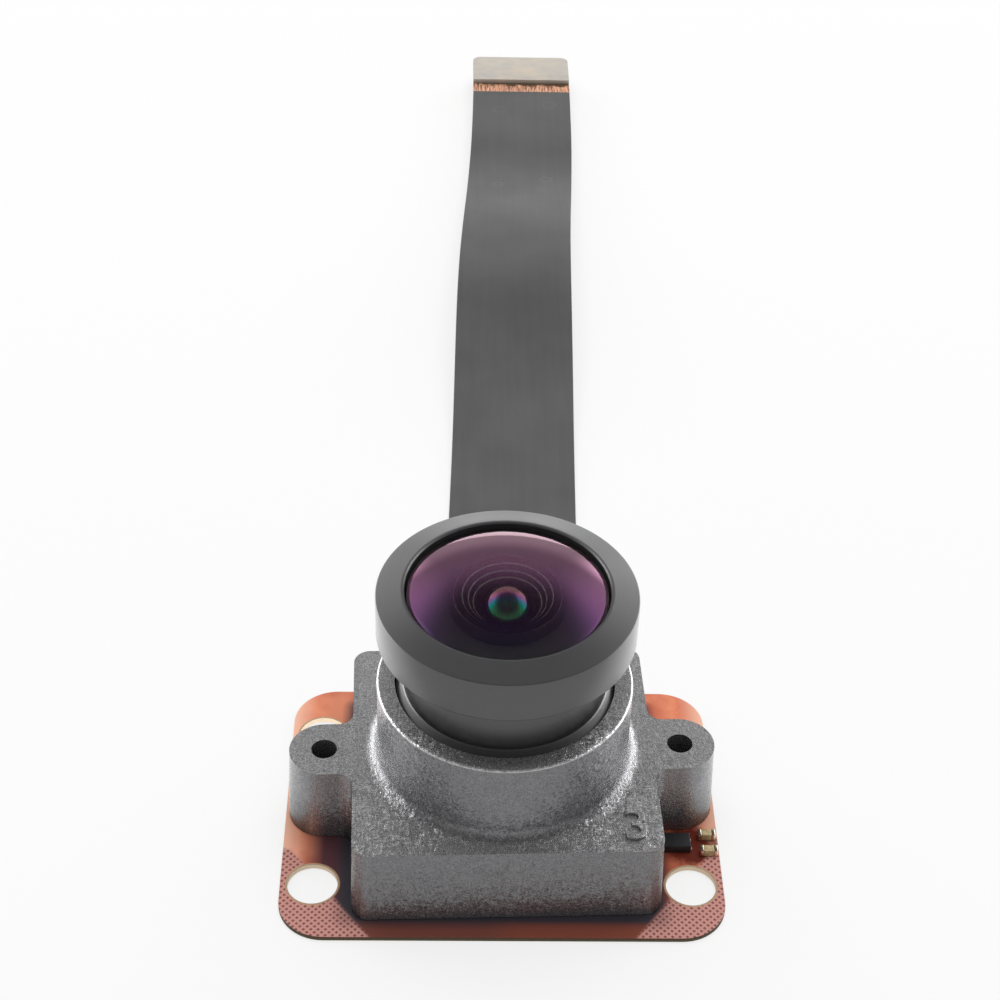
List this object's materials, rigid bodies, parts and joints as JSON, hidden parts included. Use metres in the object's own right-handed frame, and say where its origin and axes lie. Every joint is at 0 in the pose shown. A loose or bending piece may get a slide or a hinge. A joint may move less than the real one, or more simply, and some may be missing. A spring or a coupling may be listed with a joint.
{
  "type": "camera module",
  "caption": "Small fixed-focus camera module: wide lens screwed into a moulded holder on a slim circuit board, with a flat ribbon tail and plug.",
  "frame": {"origin": "on the surface it rests on, under the middle of the board", "axes": "+X along the board's long side, +Y towards the edge that the ribbon leaves, +Z towards the front of the lens"},
  "size_m": [0.0246, 0.1004, 0.0181],
  "materials": {
    "flex_board": "salmon and dark red flexible circuit with a fine hatch",
    "stiffener": "olive glass-cloth sheet edge",
    "holder": "graphite glass-filled moulding, coarse fibre grain",
    "adhesive": "black glue",
    "ceramic": "fired white ceramic",
    "silicon": "polished chip face",
    "cover_glass": "clear polished glass",
    "filter_glass": "cyan coated filter glass",
    "barrel": "satin black anodised",
    "seal": "black rubber",
    "lens_glass": "polished and coated optical glass",
    "black_ring": "dull black anodised ring",
    "capacitor": "tan ceramic",
    "tin": "bright tin plate",
    "chip": "black moulding compound",
    "tail_film": "dark grey satin film",
    "bare_strip": "amber film over copper",
    "plate": "pale warm grey sheet",
    "plug": "black moulded plug",
    "gold": "gold plated contact"
  },
  "bodies": {
    "root": {"flex_board": "flex_board", "board_stiffener": "stiffener", "lens_mount": "holder", "mount_adhesive": "adhesive", "sensor_package": "ceramic", "sensor_die": "silicon", "sensor_cover_glass": "cover_glass", "ir_filter": "filter_glass", "lens_barrel": "barrel", "front_seal": "seal", "front_element": "lens_glass", "second_element": "lens_glass", "third_element": "lens_glass", "fourth_element": "lens_glass", "fifth_element": "lens_glass", "rear_element": "lens_glass", "baffle_ring": "black_ring", "spacer_ring_a": "black_ring", "aperture_stop": "black_ring", "spacer_ring_b": "black_ring", "capacitor_bodies": "capacitor", "capacitor_ends": "tin", "chip_pads": "tin", "chip_body": "chip", "flex_tail": "tail_film", "tail_end_flex": "bare_strip", "connector_stiffener": "plate", "connector_body": "plug", "connector_contacts": "gold"}
  },
  "joints": []
}
